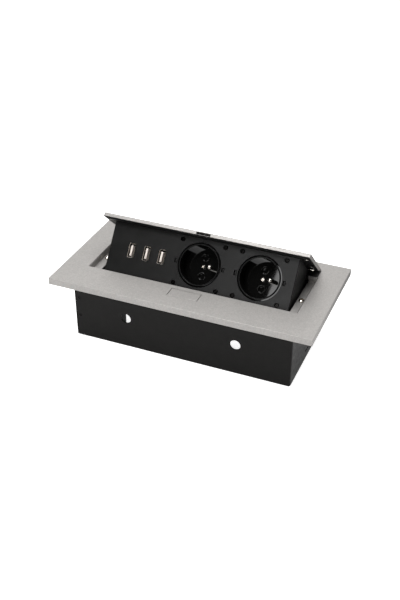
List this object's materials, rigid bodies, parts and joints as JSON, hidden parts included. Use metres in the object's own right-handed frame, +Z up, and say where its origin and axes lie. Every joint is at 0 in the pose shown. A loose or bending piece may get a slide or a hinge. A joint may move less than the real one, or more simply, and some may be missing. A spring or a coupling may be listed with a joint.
{
  "type": "in-desk power module",
  "caption": "Tilting socket and USB unit with a lid, in a flat frame and sheet housing that set into a desktop and spring open at the push of a button.",
  "frame": {"origin": "middle of the housing's open bottom rim", "axes": "+X along the unit, +Y to its back, +Z up through the frame"},
  "size_m": [0.27, 0.132, 0.1105],
  "materials": {
    "satin_aluminium": "satin",
    "black_steel": "satin",
    "black_plastic": "matte",
    "gloss_black": "gloss",
    "bright_steel": "bright",
    "dark_steel": "blackened",
    "brass": "plain",
    "ivory_plastic": "matte",
    "board_green": "satin",
    "rubber_black": "matte"
  },
  "bodies": {
    "base": {"bezel_frame": "satin_aluminium", "cable_gland": "rubber_black", "case_screw_left": "bright_steel", "case_screw_right": "bright_steel", "corner_bracket": "black_steel", "frame_screw_left": "bright_steel", "frame_screw_right": "bright_steel", "front_rivet_lower": "dark_steel", "front_rivet_upper": "dark_steel", "housing": "black_steel", "latch_case": "black_plastic", "latch_spring_left": "bright_steel", "latch_spring_right": "bright_steel", "pivot_shaft": "bright_steel", "rear_bar": "black_plastic", "shaft_clip_left": "bright_steel", "shaft_clip_right": "bright_steel", "side_rivet_lower": "dark_steel", "side_rivet_upper": "dark_steel", "stop_pin_left": "dark_steel", "stop_pin_right": "dark_steel", "terminal_box": "black_plastic", "tilt_spring_left": "bright_steel", "tilt_spring_right": "bright_steel"},
    "socket_unit": {"centre_screw_1": "bright_steel", "centre_screw_2": "bright_steel", "earth_pin_1": "bright_steel", "earth_pin_2": "bright_steel", "face_panel": "black_plastic", "face_screw_1_bottom_left": "dark_steel", "face_screw_1_bottom_right": "dark_steel", "face_screw_1_top_left": "dark_steel", "face_screw_1_top_right": "dark_steel", "face_screw_2_bottom_left": "dark_steel", "face_screw_2_bottom_right": "dark_steel", "face_screw_2_top_left": "dark_steel", "face_screw_2_top_right": "dark_steel", "lid": "satin_aluminium", "lid_screw_front_left": "bright_steel", "lid_screw_front_right": "bright_steel", "lid_screw_rear_left": "bright_steel", "lid_screw_rear_right": "bright_steel", "line_contact_1": "brass", "line_contact_2": "brass", "neutral_contact_1": "brass", "neutral_contact_2": "brass", "socket_insert_1": "gloss_black", "socket_insert_2": "gloss_black", "tilt_body": "black_plastic", "usb_board": "board_green", "usb_shell_1": "bright_steel", "usb_shell_2": "bright_steel", "usb_shell_3": "bright_steel", "usb_supply": "black_plastic", "usb_tongue_1": "ivory_plastic", "usb_tongue_2": "ivory_plastic", "usb_tongue_3": "ivory_plastic"},
    "button": {"release_button": "satin_aluminium"},
    "latch": {"latch_slide": "dark_steel"}
  },
  "joints": [
    {"name": "unit_tilt", "type": "hinge", "parent": "base", "child": "socket_unit", "pos_m": [0, 0.0433, 0.0444], "axis": [1, 0, 0], "range_deg": [0, 43.4], "stiffness_Nm_per_rad": 0.25, "springref_deg": -85.94, "deforming": ["tilt_spring_left", "tilt_spring_right"]},
    {"name": "button_press", "type": "slide", "parent": "base", "child": "button", "axis": [0, 0, 1], "range_m": [-0.002, 0], "stiffness_N_per_m": 300, "springref_m": 0.003},
    {"name": "latch_slide", "type": "slide", "parent": "base", "child": "latch", "axis": [0, 1, 0], "range_m": [-0.0025, 0], "stiffness_N_per_m": 200, "springref_m": 0.002, "deforming": ["latch_spring_left", "latch_spring_right"]}
  ],
  "couplings": [
    {"joint": "latch_slide", "follows": "button_press", "ratio": 1.25}
  ]
}
